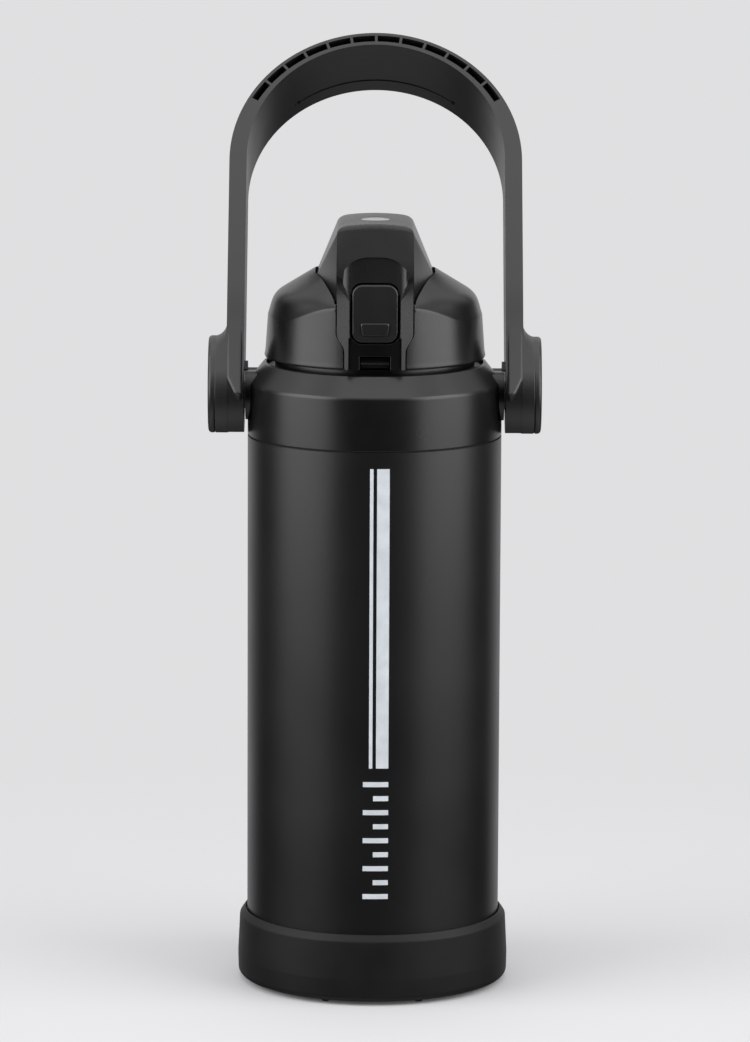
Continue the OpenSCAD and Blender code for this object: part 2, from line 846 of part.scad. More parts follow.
module spout_seal() {
    color(seal_grey) translate([0, spout_y, spout_tip_z + 0.3]) union() {
        cylinder(h = 2.7, r = spout_r + 0.3);
        cylinder(h = 4.7, r = 7.8);
    }
}

// A rounded rectangle centred on the button, w wide and h high
module button_outline(w, h, r) {
    translate([0, button_z]) {
        square([w - 2 * r, h], center = true);
        square([w, h - 2 * r], center = true);
        for (x = [-1, 1], y = [-1, 1]) translate([x * (w / 2 - r), y * (h / 2 - r)]) circle(r = r);
    }
}

// Stands a front view up between two distances in front of the axis
module plate_y(back, front) {
    rotate([90, 0, 0]) translate([0, 0, back]) linear_extrude(front - back) children();
}

module latch_housing() {
    wall = 1;
    color(satin_black) difference() {
        plate_y(panel_back, panel_y)
            translate([-panel_hw, tongue_z]) square([2 * panel_hw, panel_top - tongue_z]);
        plate_y(panel_back + wall, tongue_y + 1)
            button_outline(button_w + 2 * button_gap, button_h + 2 * button_gap, button_round + button_gap);
        plate_y(panel_back - 1, tongue_y + 1)
            translate([-window_hw, tongue_z - 1]) square([2 * window_hw, window_h + 1]);
        plate_y(panel_back - 1, button_front - button_t + free_gap)
            translate([-hook_hw - free_gap, tongue_z - 1])
                square([2 * (hook_hw + free_gap), button_z - tongue_z]);
        translate([0, -button_pin_y, button_pin_z])
            rod_x(button_pin_r + fit_gap, 1 - panel_hw, panel_hw - 1);
        thumb_scoop();
    }
}

module button_pin() {
    color(steel) translate([0, -button_pin_y, button_pin_z])
        rod_x(button_pin_r, 1 - panel_hw, panel_hw - 1);
}

module open_button() {
    ear_r = 1.9;
    color(satin_black) difference() {
        union() {
            plate_y(button_front - button_t, button_front) button_outline(button_w, button_h, button_round);
            for (x = [-7.6, 4.6]) translate([0, -button_pin_y, button_pin_z]) rod_x(ear_r, x, x + 3);
            plate_y(button_front - button_t - hook_t + eps, button_front - button_t + eps)
                translate([-hook_hw, hook_z]) square([2 * hook_hw, button_z - hook_z]);
            plate_y(button_front, button_front + 0.5) polygon([
                [6.3, button_z - 4], [5.4, button_z - 9.6], [-5.4, button_z - 9.6], [-6.3, button_z - 4]
            ]);
        }
        translate([0, -button_pin_y, button_pin_z]) rod_x(button_pin_r + run_gap, -20, 20);
        translate([-4.2, -button_front + 2, button_pin_z - 2.4]) cube([8.4, 5, 4.8]);
    }
}

// Touching turns round the pin
module button_spring() {
    wire_r = 0.3;
    turn_r = button_pin_r + 0.2 + wire_r;
    color(steel) translate([0, -button_pin_y, button_pin_z]) {
        for (i = [-2 : 2]) translate([i * 2 * wire_r, 0, 0]) rotate([0, 90, 0])
            rotate_extrude($fn = 48) translate([turn_r, 0]) circle(r = wire_r + eps, $fn = 16);
    }
}

outer_shell();
outer_base();
inner_flask();
getter_capsule();
vacuum_seal_cap();
base_boot();
stripe_print();
collar_gasket();
shoulder_collar();
pivot_inserts();
pivot_washers();
pivot_screws();
carry_handle();
pivot_bushes();
hub_cap_left();
hub_cap_right();
neck_seal();
lid_shell();
lid_core();
stopper();
spout();
vent_valve();
latch_catch();
hinge_pin();
flip_cover();
seal_carrier();
spout_seal();
latch_housing();
top_badge();
button_pin();
button_spring();
open_button();
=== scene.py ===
"""Insulated sports jug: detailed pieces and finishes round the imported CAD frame.

Lengths in the helpers are millimetres. MM turns them into the scene's metres.
"""
import json
import math

import bmesh
import bpy
from mathutils import Matrix, Vector


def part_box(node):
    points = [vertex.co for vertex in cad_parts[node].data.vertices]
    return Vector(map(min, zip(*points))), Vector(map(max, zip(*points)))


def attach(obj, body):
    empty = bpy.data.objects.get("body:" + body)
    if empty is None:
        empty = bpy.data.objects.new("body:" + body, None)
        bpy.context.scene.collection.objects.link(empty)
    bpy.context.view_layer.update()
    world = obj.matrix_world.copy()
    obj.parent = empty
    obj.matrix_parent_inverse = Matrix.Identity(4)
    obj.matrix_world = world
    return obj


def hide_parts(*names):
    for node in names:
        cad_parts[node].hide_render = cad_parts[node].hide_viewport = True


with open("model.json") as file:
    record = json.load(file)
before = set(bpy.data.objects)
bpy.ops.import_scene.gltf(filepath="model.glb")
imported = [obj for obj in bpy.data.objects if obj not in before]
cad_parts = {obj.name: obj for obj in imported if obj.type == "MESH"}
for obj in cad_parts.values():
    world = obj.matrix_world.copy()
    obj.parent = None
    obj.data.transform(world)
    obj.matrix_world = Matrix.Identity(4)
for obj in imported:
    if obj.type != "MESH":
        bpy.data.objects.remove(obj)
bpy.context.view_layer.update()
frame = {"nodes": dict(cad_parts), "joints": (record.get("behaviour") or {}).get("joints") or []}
scene = bpy.context.scene
nodes = frame["nodes"]
joints = {joint["name"]: joint for joint in frame["joints"]}
MM = 0.001


# ---------------------------------------------------------------- sizes taken from the frame

def low(node):
    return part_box(node)[0] / MM


def high(node):
    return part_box(node)[1] / MM


PIVOT_Z = joints["handle_swing"]["pos_m"][2] / MM
HINGE_Y = joints["cover_open"]["pos_m"][1] / MM
HINGE_Z = joints["cover_open"]["pos_m"][2] / MM
PRESS_Y, PRESS_Z = [v / MM for v in joints["button_press"]["pos_m"][1:]]
BODY_R = high("collar_gasket").x + 0.5
BOOT_TOP = high("base_boot").z
BOOT_R = high("base_boot").x
STUD_H = 1.5
BASE_Z = low("outer_shell").z
GASKET_TOP = high("collar_gasket").z
COLLAR_TOP = high("shoulder_collar").z
BOSS_X = high("shoulder_collar").x
LEAN = math.radians(35)
ARM_X = BODY_R + 1.5
CAP_X = high("hub_cap_right").x
HUB_X = CAP_X - 4.6
SEAM_X = HUB_X + 1.7
ARM_OUT = HUB_X - 3.4
HUB_R = 18.8
HUB_LONG = 5.5
ARM_HW = HUB_R - 0.2
BAND_HW = 20.5
REACH = 168.0
ARCH_Z = REACH - ARM_OUT
INNER_ARCH_Z = REACH - 6 - ARM_X
LID_Z = low("latch_housing").z - 0.5
LID_R = high("lid_shell").x
LID_WALL_R = LID_R - 1.4
ROOF_R = 14.2
ROOF_Z = LID_Z + 18
ROOF_SLOPE = math.radians(31.5)
ROOF_TURN = 90 - 31.5
WALL_START = 5
CREASE_STEPS = 18
CREASE_R = 1.6
CREASE_STRETCH = 1.6
DECK_Z = LID_Z + 27.8
TOWER_TOP = high("flip_cover").z
TONGUE_Y = -low("flip_cover").y
TONGUE_Z = low("flip_cover").z
TOWER_RIM = 4.2
FACE_Z = LID_Z + 33
FACE_TOP = TOWER_TOP - TOWER_RIM
TOWER_HW = 16.4
TOWER_FRONT = TONGUE_Y - 8.5
TOWER_BACK = 6.0
TONGUE_LOW_HW = TOWER_HW - 3.3
FLARE_HW = high("flip_cover").x
FLARE_FRONT = -9.5
FLARE_BACK = 8
CORNER_Y = LID_R - 10.2
NOTCH_Y = LID_R - 6.7
BADGE = (high("top_badge") + low("top_badge")) / 2
BADGE_R = (high("top_badge").x - low("top_badge").x) / 2
SPOUT_Y = -16.0
VENT_Y = 12.0
KNUCKLE_HW = 7.6
PANEL_HW = high("latch_housing").x
PANEL_Y = -low("latch_housing").y
PANEL_BACK = NOTCH_Y + 0.5
PANEL_TOP = LID_Z + 39.2
KNUCKLE_R = 3.6
BUTTON_W = high("open_button").x - low("open_button").x
BUTTON_H = 24.8
BUTTON_Z = high("open_button").z - BUTTON_H / 2
BUTTON_R = 4.4
BUTTON_Y = TONGUE_Y - 0.2
WINDOW_HW = 6.6
WINDOW_TOP = TONGUE_Z + 5.8
WELL_GAP = 0.75
PALE = (0.745, 0.745, 0.755, 1)


# ---------------------------------------------------------------- building helpers

def arc(cx, cy, r, a0, a1, steps=10):
    """Points of an arc from angle a0 to a1, in degrees."""
    angles = [math.radians(a0 + (a1 - a0) * i / steps) for i in range(steps + 1)]
    return [(cx + r * math.cos(a), cy + r * math.sin(a)) for a in angles]


def rounded(corners, steps=6):
    """A closed outline from (x, y, radius) corners."""
    out = []
    for i, (x, y, r) in enumerate(corners):
        here = Vector((x, y))
        if r <= 0:
            out.append((x, y))
            continue
        before = (Vector(corners[i - 1][:2]) - here).normalized()
        after = (Vector(corners[(i + 1) % len(corners)][:2]) - here).normalized()
        half = before.angle(after) / 2
        centre = here + (before + after).normalized() * (r / math.sin(half))
        start = here + before * (r / math.tan(half)) - centre
        end = here + after * (r / math.tan(half)) - centre
        a0 = math.atan2(start.y, start.x)
        turn = (math.atan2(end.y, end.x) - a0 + math.pi) % (2 * math.pi) - math.pi
        for k in range(steps + 1):
            a = a0 + turn * k / steps
            out.append((centre.x + r * math.cos(a), centre.y + r * math.sin(a)))
    return out


def placed(plane, a, b, h):
    """An outline's point (a, b) at height h across the plane named by its normal."""
    return {"x": (h, a, b), "y": (a, h, b), "z": (a, b, h)}[plane]


def from_bmesh(name, bm):
    bmesh.ops.remove_doubles(bm, verts=bm.verts, dist=0.002 * MM)
    bmesh.ops.dissolve_degenerate(bm, edges=bm.edges, dist=0.001 * MM)
    bmesh.ops.recalc_face_normals(bm, faces=bm.faces)
    mesh = bpy.data.meshes.new(name)
    bm.to_mesh(mesh)
    bm.free()
    obj = bpy.data.objects.new(name, mesh)
    scene.collection.objects.link(obj)
    return obj


def solid(name, points, faces):
    bm = bmesh.new()
    verts = [bm.verts.new(Vector(p) * MM) for p in points]
    for face in faces:
        bm.faces.new([verts[i] for i in face])
    return from_bmesh(name, bm)


def stack(name, rings):
    """A solid through rings of points, closed by a face at each end."""
    n = len(rings[0])
    points = [p for ring in rings for p in ring]
    faces = [list(range(n)), [n * (len(rings) - 1) + i for i in range(n)]]
    for k in range(len(rings) - 1):
        for i in range(n):
            j = (i + 1) % n
            faces.append([k * n + i, k * n + j, (k + 1) * n + j, (k + 1) * n + i])
    return solid(name, points, faces)


def slab(name, outline, h0, h1, plane):
    return stack(name, [[placed(plane, a, b, h) for a, b in outline] for h in (h0, h1)])


def pillow(name, outline, levels, plane):
    """A stack of one outline: levels are (how far it is drawn in, height)."""
    return stack(name, [[placed(plane, a, b, h) for a, b in outline(d)] for d, h in levels])


def spin(name, profile, steps=192, change=None):
    """A solid round Z from a closed (r, z) profile; change(i, r, z, angle) may shift its points."""
    points, faces, rings = [], [], []
    for n, (r, z) in enumerate(profile):
        if r < 0.001:
            rings.append([len(points)] * steps)
            points.append((0, 0, z))
            continue
        rings.append(list(range(len(points), len(points) + steps)))
        for i in range(steps):
            a = 2 * math.pi * i / steps
            ra, za = change(n, r, z, a) if change else (r, z)
            points.append((ra * math.cos(a), ra * math.sin(a), za))
    for k in range(len(rings)):
        one, two = rings[k], rings[(k + 1) % len(rings)]
        for i in range(steps):
            j = (i + 1) % steps
            face = []
            for v in (one[i], one[j], two[j], two[i]):
                if v not in face:
                    face.append(v)
            if len(face) > 2:
                faces.append(face)
    return solid(name, points, faces)


def hull(name, points):
    bm = bmesh.new()
    for p in points:
        bm.verts.new(Vector(p) * MM)
    made = bmesh.ops.convex_hull(bm, input=bm.verts)
    spare = [g for g in made["geom_interior"] + made["geom_unused"] if isinstance(g, bmesh.types.BMVert)]
    bmesh.ops.delete(bm, geom=list(set(spare)), context="VERTS")
    bmesh.ops.dissolve_limit(bm, angle_limit=math.radians(0.4), verts=bm.verts, edges=bm.edges)
    return from_bmesh(name, bm)


def rod(name, r, x0, x1, y, z, steps=64):
    return slab(name, [(y + a, z + b) for a, b in arc(0, 0, r, 0, 360 - 360 / steps, steps - 1)], x0, x1, "x")


def post(name, r, z0, z1, y, steps=96):
    return slab(name, [(a, y + b) for a, b in arc(0, 0, r, 0, 360 - 360 / steps, steps - 1)], z0, z1, "z")


def block(name, x0, x1, y0, y1, z0, z1):
    return slab(name, [(x0, y0), (x1, y0), (x1, y1), (x0, y1)], z0, z1, "z")


def bake(obj):
    """Puts the modifiers' result into the mesh."""
    bpy.context.view_layer.update()
    result = bpy.data.meshes.new_from_object(obj.evaluated_get(bpy.context.evaluated_depsgraph_get()))
    obj.modifiers.clear()
    old = obj.data
    obj.data = result
    bpy.data.meshes.remove(old)
    return obj


def combine(obj, others, operation):
    for other in others:
        step = obj.modifiers.new("step", "BOOLEAN")
        step.operation = operation
        step.solver = "EXACT"
        step.object = other
        bake(obj)
        mesh = other.data
        bpy.data.objects.remove(other)
        bpy.data.meshes.remove(mesh)
    return obj


def cut(obj, *others):
    return combine(obj, others, "DIFFERENCE")


def join(obj, *others):
    return combine(obj, others, "UNION")


def common(obj, other):
    return combine(obj, [other], "INTERSECT")


def soften(obj, width, segments=2, angle=32):
    """Rounds every edge sharper than the angle."""
    bm = bmesh.new()
    bm.from_mesh(obj.data)
    bmesh.ops.remove_doubles(bm, verts=bm.verts, dist=0.004 * MM)
    bmesh.ops.dissolve_limit(bm, angle_limit=math.radians(0.3), verts=bm.verts, edges=bm.edges)
    bm.to_mesh(obj.data)
    bm.free()
    step = obj.modifiers.new("soften", "BEVEL")
    step.width = width * MM
    step.segments = segments
    step.limit_method = "ANGLE"
    step.angle_limit = math.radians(angle)
    step.use_clamp_overlap = True
    return bake(obj)


def mirrored(obj, name):
    twin = obj.copy()
    twin.data = obj.data.copy()
    twin.name = name
    scene.collection.objects.link(twin)
    twin.data.transform(Matrix.Scale(-1, 4, (1, 0, 0)))
    twin.data.flip_normals()
    return twin


def lean_back(obj):
    """From the handle's own upright position to its place on the jug."""
    obj.data.transform(Matrix.Translation((0, 0, PIVOT_Z * MM)) @ Matrix.Rotation(-LEAN, 4, "X"))
    return obj


def smooth(t):
    t = min(1.0, max(0.0, t))
    return t * t * (3 - 2 * t)


# ---------------------------------------------------------------- finishes

def new_material(name):
    mat = bpy.data.materials.new(name)
    mat.use_nodes = True
    tree = mat.node_tree
    tree.nodes.clear()
    shader = tree.nodes.new("ShaderNodeBsdfPrincipled")
    out = tree.nodes.new("ShaderNodeOutputMaterial")
    tree.links.new(shader.outputs["BSDF"], out.inputs["Surface"])
    coords = tree.nodes.new("ShaderNodeTexCoord")
    return mat, tree, shader, coords.outputs["Object"]


def noise(tree, coords, size_mm, detail=3.0, stretch=(1, 1, 1)):
    """Noise whose features are about that big."""
    place = tree.nodes.new("ShaderNodeMapping")
    place.inputs["Scale"].default_value = [s / (size_mm * MM) for s in stretch]
    tex = tree.nodes.new("ShaderNodeTexNoise")
    tex.inputs["Scale"].default_value = 1.0
    tex.inputs["Detail"].default_value = detail
    tree.links.new(coords, place.inputs["Vector"])
    tree.links.new(place.outputs["Vector"], tex.inputs["Vector"])
    return tex.outputs["Fac"]


def spread(tree, value, low_value, high_value, start=0.3, end=0.7):
    span = tree.nodes.new("ShaderNodeMapRange")
    span.inputs["From Min"].default_value = start
    span.inputs["From Max"].default_value = end
    span.inputs["To Min"].default_value = low_value
    span.inputs["To Max"].default_value = high_value
    tree.links.new(value, span.inputs["Value"])
    return span.outputs["Result"]


def tint(tree, value, dark, light, start=0.3, end=0.7):
    ramp = tree.nodes.new("ShaderNodeValToRGB")
    ramp.color_ramp.elements[0].position = start
    ramp.color_ramp.elements[1].position = end
    ramp.color_ramp.elements[0].color = (*dark, 1)
    ramp.color_ramp.elements[1].color = (*light, 1)
    tree.links.new(value, ramp.inputs["Fac"])
    return ramp.outputs["Color"]


def maths(tree, operation, one, two):
    node = tree.nodes.new("ShaderNodeMath")
    node.operation = operation
    tree.links.new(one, node.inputs[0])
    tree.links.new(two, node.inputs[1])
    return node.outputs["Value"]


def bumped(tree, shader, layers):
    """Layers of (height value, depth in mm), one bump on top of the next."""
    last = None
    for value, depth in layers:
        bump = tree.nodes.new("ShaderNodeBump")
        bump.inputs["Strength"].default_value = 1.0
        bump.inputs["Distance"].default_value = depth * MM
        tree.links.new(value, bump.inputs["Height"])
        if last is not None:
            tree.links.new(last, bump.inputs["Normal"])
        last = bump.outputs["Normal"]
    tree.links.new(last, shader.inputs["Normal"])


def moulded(name, dark, light, rough, grain, depth, wave=0.0, specular=0.5):
    """Black moulded plastic or rubber with a fine grain and slow shifts in gloss."""
    mat, tree, shader, coords = new_material(name)
    slow = noise(tree, coords, 28.0, 2.0)
    fine = noise(tree, coords, grain, 3.0)
    tree.links.new(tint(tree, slow, dark, light), shader.inputs["Base Color"])
    gloss = maths(tree, "ADD", spread(tree, slow, rough[0], rough[1]), spread(tree, fine, -0.03, 0.03))
    tree.links.new(gloss, shader.inputs["Roughness"])
    shader.inputs["Specular IOR Level"].default_value = specular
    layers = [(fine, depth)]
    if wave:
        layers.append((noise(tree, coords, 9.0, 1.0), wave))
    bumped(tree, shader, layers)
    return mat


def powder_finish():
    """Satin powder coat: orange-peel waves and a tight grain."""
    mat, tree, shader, coords = new_material("powder_coat_black")
    peel = noise(tree, coords, 1.1, 2.0)
    grain = noise(tree, coords, 0.32, 3.0)
    slow = noise(tree, coords, 45.0, 2.0)
    tree.links.new(tint(tree, grain, (0.003, 0.003, 0.0035), (0.006, 0.006, 0.0068)),
                   shader.inputs["Base Color"])
    tree.links.new(spread(tree, slow, 0.33, 0.38), shader.inputs["Roughness"])
    bumped(tree, shader, [(peel, 0.016), (grain, 0.008)])
    return mat


def metal_finish(name, dark, light, rough, stretch, brush_mm=0.5):
    """Brushed or turned metal: streaks along one direction."""
    mat, tree, shader, coords = new_material(name)
    brush = noise(tree, coords, brush_mm, 4.0, stretch)
    tree.links.new(tint(tree, brush, dark, light), shader.inputs["Base Color"])
    shader.inputs["Metallic"].default_value = 1.0
    tree.links.new(spread(tree, brush, rough[0], rough[1]), shader.inputs["Roughness"])
    bumped(tree, shader, [(brush, 0.01)])
    return mat


def ink_finish():
    """Screen-printed ink: slightly uneven cover with the coat's grain showing through."""
    mat, tree, shader, coords = new_material("print_ink_grey")
    grain = noise(tree, coords, 0.32, 3.0)
    cover = noise(tree, coords, 6.0, 3.0)
    tree.links.new(tint(tree, cover, (0.43, 0.46, 0.49), (0.51, 0.54, 0.57)), shader.inputs["Base Color"])
    tree.links.new(spread(tree, grain, 0.5, 0.62), shader.inputs["Roughness"])
    bumped(tree, shader, [(grain, 0.006)])
    return mat


def silicone_finish():
    mat, tree, shader, coords = new_material("seal_silicone_grey")
    slow = noise(tree, coords, 6.0, 2.0)
    tree.links.new(tint(tree, slow, (0.24, 0.25, 0.26), (0.30, 0.31, 0.32)), shader.inputs["Base Color"])
    tree.links.new(spread(tree, slow, 0.42, 0.52), shader.inputs["Roughness"])
    shader.inputs["Subsurface Weight"].default_value = 0.1
    shader.inputs["Subsurface Radius"].default_value = (0.001, 0.001, 0.001)
    bumped(tree, shader, [(noise(tree, coords, 0.4, 2.0), 0.006)])
    return mat


FINISH = {
    "powder_coat": powder_finish(),
    "bare_steel": metal_finish("bare_steel_brushed", (0.42, 0.43, 0.44), (0.60, 0.61, 0.62), (0.24, 0.38),
                               (0.15, 0.15, 3.0)),
    "boot_rubber": moulded("boot_rubber_black", (0.0035, 0.0035, 0.004), (0.006, 0.006, 0.0065),
                           (0.50, 0.58), 0.35, 0.012, 0.03, 0.22),
    "print_ink": ink_finish(),
    "collar_plastic": moulded("collar_plastic_black", (0.003, 0.003, 0.0034), (0.005, 0.005, 0.0056),
                              (0.28, 0.33), 0.28, 0.005, 0.0, 0.44),
    "brass_parts": metal_finish("brass_turned", (0.50, 0.35, 0.14), (0.68, 0.50, 0.22), (0.22, 0.36),
                                (0.2, 3.0, 3.0)),
    "seal_silicone": silicone_finish(),
    "handle_plastic": moulded("handle_plastic_black", (0.007, 0.007, 0.0078), (0.010, 0.010, 0.011),
                              (0.38, 0.44), 0.30, 0.008),
    "lid_plastic": moulded("lid_plastic_black", (0.002, 0.002, 0.0023), (0.004, 0.004, 0.0045),
                           (0.27, 0.32), 0.26, 0.005, 0.0, 0.39),
    "button_plastic": moulded("button_plastic_black", (0.005, 0.005, 0.0056), (0.008, 0.008, 0.0088),
                              (0.38, 0.44), 0.24, 0.007),
    "badge_metal": metal_finish("badge_satin_silver", (0.60, 0.61, 0.62), (0.74, 0.75, 0.76), (0.30, 0.42),
                                (3.0, 0.3, 1.0), 0.4),
}


def dress(obj, body, slot, *cad_nodes):
    """Smooth shading with crisp corners, a finish, and the piece's place in the frame."""
    obj.data.materials.clear()
    obj.data.materials.append(FINISH[slot])
    obj.data.shade_smooth()
    obj.data.set_sharp_from_angle(angle=math.radians(42))
    weigh = obj.modifiers.new("weigh", "WEIGHTED_NORMAL")
    weigh.keep_sharp = True
    weigh.weight = 60
    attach(obj, body)
    if cad_nodes:
        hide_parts(*cad_nodes)
    return obj


# ---------------------------------------------------------------- boot

def make_boot():
    """A cup with a rounded lip, a thin gap between lip and body, and studs under its floor."""
    inner_r, gap_z, stud_top = BODY_R + 0.04, BOOT_TOP - 1.4, STUD_H + 1.4
    boot = spin("boot", rounded([
        (0, STUD_H + 0.6, 0), (22, STUD_H + 0.6, 0.4), (23, STUD_H, 0.4),
        (BOOT_R - 0.2, STUD_H, 3.0), (BOOT_R, STUD_H + 10, 14.0), (BOOT_R - 0.8, BOOT_TOP - 2.8, 2.2),
        (BODY_R + 1.3, BOOT_TOP, 0.5), (BODY_R + 0.6, BOOT_TOP, 0.2), (BODY_R + 0.55, gap_z, 0),
        (inner_r, gap_z, 0), (inner_r, BASE_Z, 0), (0, BASE_Z, 0),
    ]))
    studs = []
    for i in range(8):
        a = math.radians(22.5 + 45 * i)
        stud = spin("stud", [(0, 0), (1.25, 0), (1.6, 0.25), (1.95, STUD_H), (2.3, stud_top),
                             (0, stud_top)], 32)
        stud.data.transform(Matrix.Translation(Vector((math.cos(a), math.sin(a), 0)) * (BODY_R - 2.5) * MM))
        studs.append(stud)
    pad = spin("pad", [(0, 0.3), (10.5, 0.3), (11, 0), (14.5, 0), (15, 0.4), (15.2, STUD_H + 1.2),
                       (0, STUD_H + 1.2)], 96)
    join(boot, *studs, pad)
    return dress(boot, "bottle", "boot_rubber", "base_boot")


# ---------------------------------------------------------------- collar

def make_collar():
    """A hollow ring over the shoulder; each pivot boss has a gap that the handle's lug swings in."""
    wall_top = GASKET_TOP - 0.6 + 23.5
    outer = rounded([
        (0, GASKET_TOP, 0), (BODY_R, GASKET_TOP, 0.45), (BODY_R, wall_top, 2.6),
        (BODY_R - 6.9, COLLAR_TOP - 0.3, 0.5), (BODY_R - 7.6, COLLAR_TOP, 0.2), (0, COLLAR_TOP, 0),
    ], 8)
    collar = spin("collar", outer, 256)
    for side in (1, -1):
        disc = rod("disc", 13, 50 * side, BOSS_X * side, 0, PIVOT_Z)
        gap = slab("gap", [(0, PIVOT_Z), (26, PIVOT_Z + 22.3), (0, PIVOT_Z + 40), (-26, PIVOT_Z + 22.3)],
                   49 * side, 60 * side, "x")
        cut(disc, gap)
        join(disc, rod("core", 8.6, 50 * side, BOSS_X * side, 0, PIVOT_Z))
        join(collar, disc)
    inner_r, neck_r, mouth_r = BODY_R - 1.98, 41.5, LID_R - 0.8
    floor_z, dome_z, dome_h = GASKET_TOP + 19.9, 246.5, 14.4
    dome = [(neck_r + (inner_r - neck_r) * math.cos(math.radians(a)),
             dome_z + dome_h * math.sin(math.radians(a))) for a in range(0, 91, 6)]
    hollow = spin("hollow", [(0, GASKET_TOP - 1), (inner_r, GASKET_TOP - 1)] + dome
                  + [(neck_r, floor_z + 1), (0, floor_z + 1)], 256)
    mouth = spin("mouth", [(0, floor_z), (mouth_r, floor_z), (mouth_r, COLLAR_TOP + 5),
                           (0, COLLAR_TOP + 5)], 256)
    cut(collar, hollow, mouth)
    for side in (1, -1):
        cut(collar, rod("bore", 3.22, 49.4 * side, 60 * side, 0, PIVOT_Z, 48))
    soften(collar, 0.35)
    return dress(collar, "bottle", "collar_plastic", "shoulder_collar")


# ---------------------------------------------------------------- handle

def hub_outline(r):
    """The hub seen from the side: a circle stretched up the arm."""
    lower = arc(0, 0, r, 180, 360, 30)
    upper = arc(0, HUB_LONG, r, 0, 180, 30)
    return lower + upper


def seam_outline(d):
    """The hub's outline drawn in by d, but only in its lower half: the seam fades out above the pivot."""
    out = []
    for y, z in hub_outline(HUB_R):
        share = smooth((5 - z) / 12)
        reach = math.hypot(y, min(z, 0)) or 1
        out.append((y - y / reach * d * share, z - min(z, 0) / reach * d * share))
    return out


def band_stations():
    """(outer x, outer z, inner x, inner z, half width) from the right hub to the left one."""
    found = []
    arm_steps, arch_steps = 30, 96
    for i in range(arm_steps):
        s = i / arm_steps
        found.append((ARM_OUT, HUB_LONG + (ARCH_Z - HUB_LONG) * s,
                      ARM_X, HUB_LONG + (INNER_ARCH_Z - HUB_LONG) * s))
    for i in range(arch_steps + 1):
        a = math.pi * i / arch_steps
        found.append((ARM_OUT * math.cos(a), ARCH_Z + ARM_OUT * math.sin(a),
                      ARM_X * math.cos(a), INNER_ARCH_Z + ARM_X * math.sin(a)))
    for i in range(arm_steps - 1, -1, -1):
        ox, oz, ix, iz = found[i]
        found.append((-ox, oz, -ix, iz))
    return [(*s, ARM_HW + (BAND_HW - ARM_HW) * smooth((s[1] - HUB_LONG) / 36.5)) for s in found]


def make_band():
    """The bent band with its long edges rounded, less so beside the hubs."""
    bm = bmesh.new()
    weight = bm.edges.layers.float.new("bevel_weight_edge")
    rows = []
    for ox, oz, ix, iz, w in band_stations():
        rows.append([bm.verts.new(Vector(p) * MM) for p in
                     ((ox, -w, oz), (ox, w, oz), (ix, w, iz), (ix, -w, iz))])
    for one, two in zip(rows, rows[1:]):
        for k in range(4):
            bm.faces.new((one[k], one[(k + 1) % 4], two[(k + 1) % 4], two[k]))
    for end in (rows[0], rows[-1]):
        outer, inner = [end[0]], [end[3]]
        side = math.copysign(1, end[0].co.x)
        for a in range(0, 181, 6):
            y = -ARM_HW * math.cos(math.radians(a))
            z = -ARM_HW * math.sin(math.radians(a))
            outer.append(bm.verts.new(Vector((side * ARM_OUT, y, z)) * MM))
            inner.append(bm.verts.new(Vector((side * ARM_X, y, z)) * MM))
        outer.append(end[1])
        inner.append(end[2])
        bm.faces.new(outer)
        bm.faces.new(inner)
        for i in range(len(outer) - 1):
            bm.faces.new((outer[i], outer[i + 1], inner[i + 1], inner[i]))
    bm.verts.ensure_lookup_table()
    for edge in bm.edges:
        middle = (edge.verts[0].co + edge.verts[1].co) / 2 / MM
        along = abs((edge.verts[0].co - edge.verts[1].co).y) / MM
        if len(edge.link_faces) < 2 or edge.calc_face_angle() < 0.6 or along > 15:
            continue
        outside = abs(edge.verts[0].co.x) / MM > ARM_X + 0.5 or middle.z > INNER_ARCH_Z
        if middle.z > ARCH_Z:
            reach = math.hypot(middle.x, middle.z - ARCH_Z)
            outside = reach > (ARM_OUT + ARM_X) / 2
        edge[weight] = smooth((middle.z - 6) / 16) if outside else 0.7
    band = from_bmesh("handle", bm)
    step = band.modifiers.new("round", "BEVEL")
    step.width = 3.0 * MM
    step.segments = 7
    step.limit_method = "WEIGHT"
    return bake(band)


def make_hub(side):
    """The boss at the arm's lower end: it flows out of the arm and ends at the cap's seam."""
    levels = [(-6.0, ARM_OUT - 0.6), (-5.4, ARM_OUT + 0.02), (-3.8, ARM_OUT + 0.35),
              (-2.3, ARM_OUT + 1.1), (-1.1, ARM_OUT + 2.2), (-0.35, ARM_OUT + 3.4),
              (0, SEAM_X - 0.5), (0.25, SEAM_X - 0.12), (0.5, SEAM_X)]
    hub = pillow("hub", lambda d: seam_outline(d) if d > 0.1 else hub_outline(HUB_R - d),
                 [(d, x * side) for d, x in levels], "x")
    inside = BAND_HW - 1.2
    keep = ([(HUB_R, 4), (inside, 40), (inside, 60), (-inside, 60), (-inside, 40), (-HUB_R, 4)]
            + arc(0, 0, HUB_R, 180, 360, 60))
    return common(hub, slab("keep", keep, (ARM_OUT - 2) * side, (HUB_X + 4) * side, "x"))


def make_rib(side):
    """The raised rib along the arm's front edge, which comes to a rounded end beside the pivot."""
    in_x, out_x, top_z = (ARM_X + 0.5) * side, (ARM_OUT - 0.1) * side, 46
    outline = rounded([(in_x, top_z, 0), (in_x, -13, 1.5), ((ARM_X + 4) * side, -11.5, 3.0),
                       (out_x, -3.5, 4.5), (out_x, top_z, 0)])
    return soften(slab("rib", outline, -19.4, -12, "y"), 1.5, 5)


